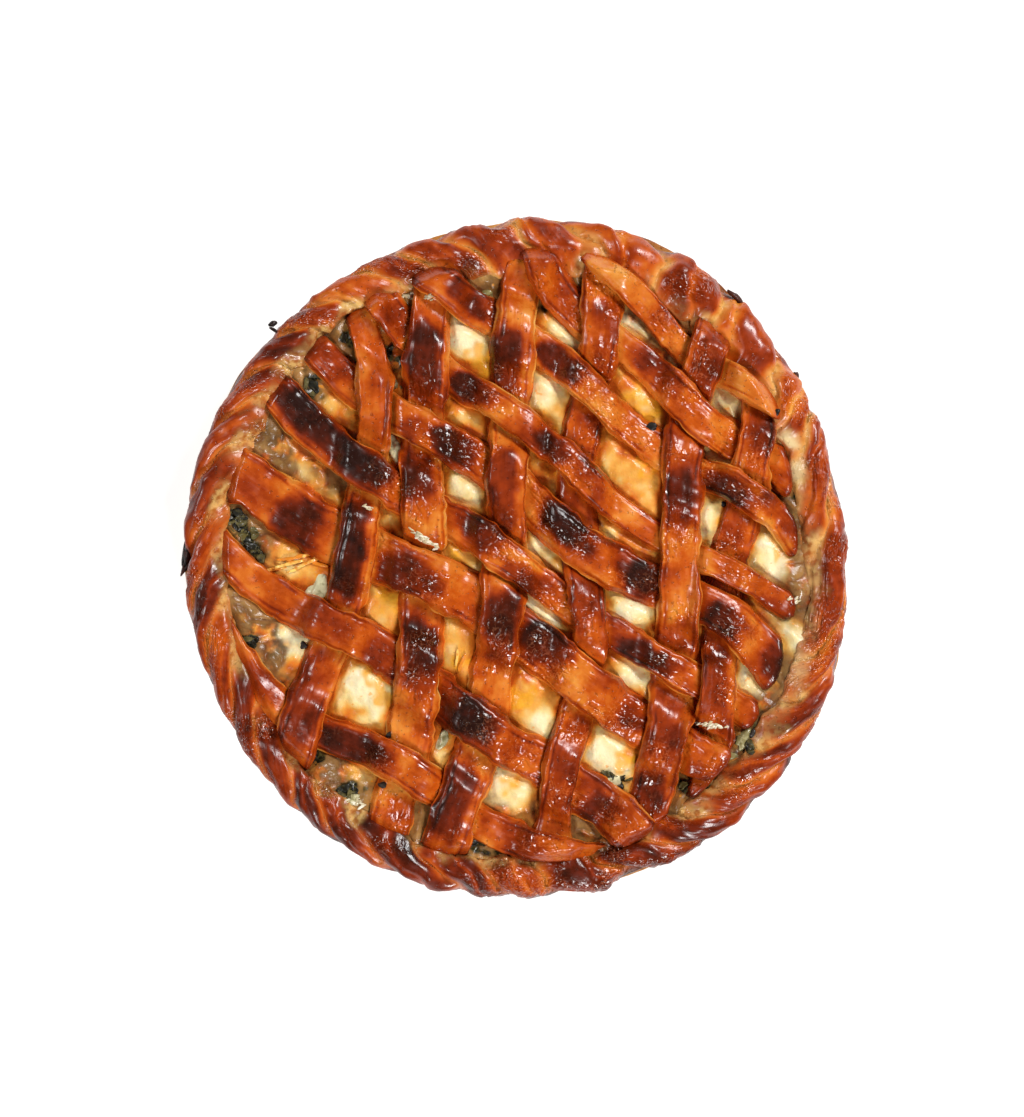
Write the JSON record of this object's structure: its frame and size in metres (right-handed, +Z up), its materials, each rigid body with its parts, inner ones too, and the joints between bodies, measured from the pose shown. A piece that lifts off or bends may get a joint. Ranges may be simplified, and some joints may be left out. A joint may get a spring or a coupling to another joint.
{
  "type": "savoury lattice pie",
  "caption": "Round savoury pie with a woven lattice of glazed pastry strips, a twisted rope edge and a creamy cheese and greens filling, resting on its flat bottom crust.",
  "frame": {"origin": "middle of the bounding box on the flat underside", "axes": "+Z up through the lattice; +Y runs along the upright strips towards the top of the picture, +X to its right"},
  "size_m": [0.2758, 0.2826, 0.0434],
  "materials": {
    "crust": "baked pastry, dry and matte",
    "filling": "baked cream and cheese, soft sheen",
    "edge": "egg-washed baked pastry, glossy",
    "lattice": "egg-washed baked pastry, dark and glossy"
  },
  "bodies": {
    "root": {"bottom_crust": "crust", "filling": "filling", "rope_edge": "edge", "slanted_strip_1": "lattice", "slanted_strip_2": "lattice", "slanted_strip_3": "lattice", "slanted_strip_4": "lattice", "slanted_strip_5": "lattice", "slanted_strip_6": "lattice", "slanted_strip_7": "lattice", "slanted_strip_8": "lattice", "slanted_strip_9": "lattice", "upright_strip_1": "lattice", "upright_strip_2": "lattice", "upright_strip_3": "lattice", "upright_strip_4": "lattice", "upright_strip_5": "lattice", "upright_strip_6": "lattice"}
  },
  "joints": []
}
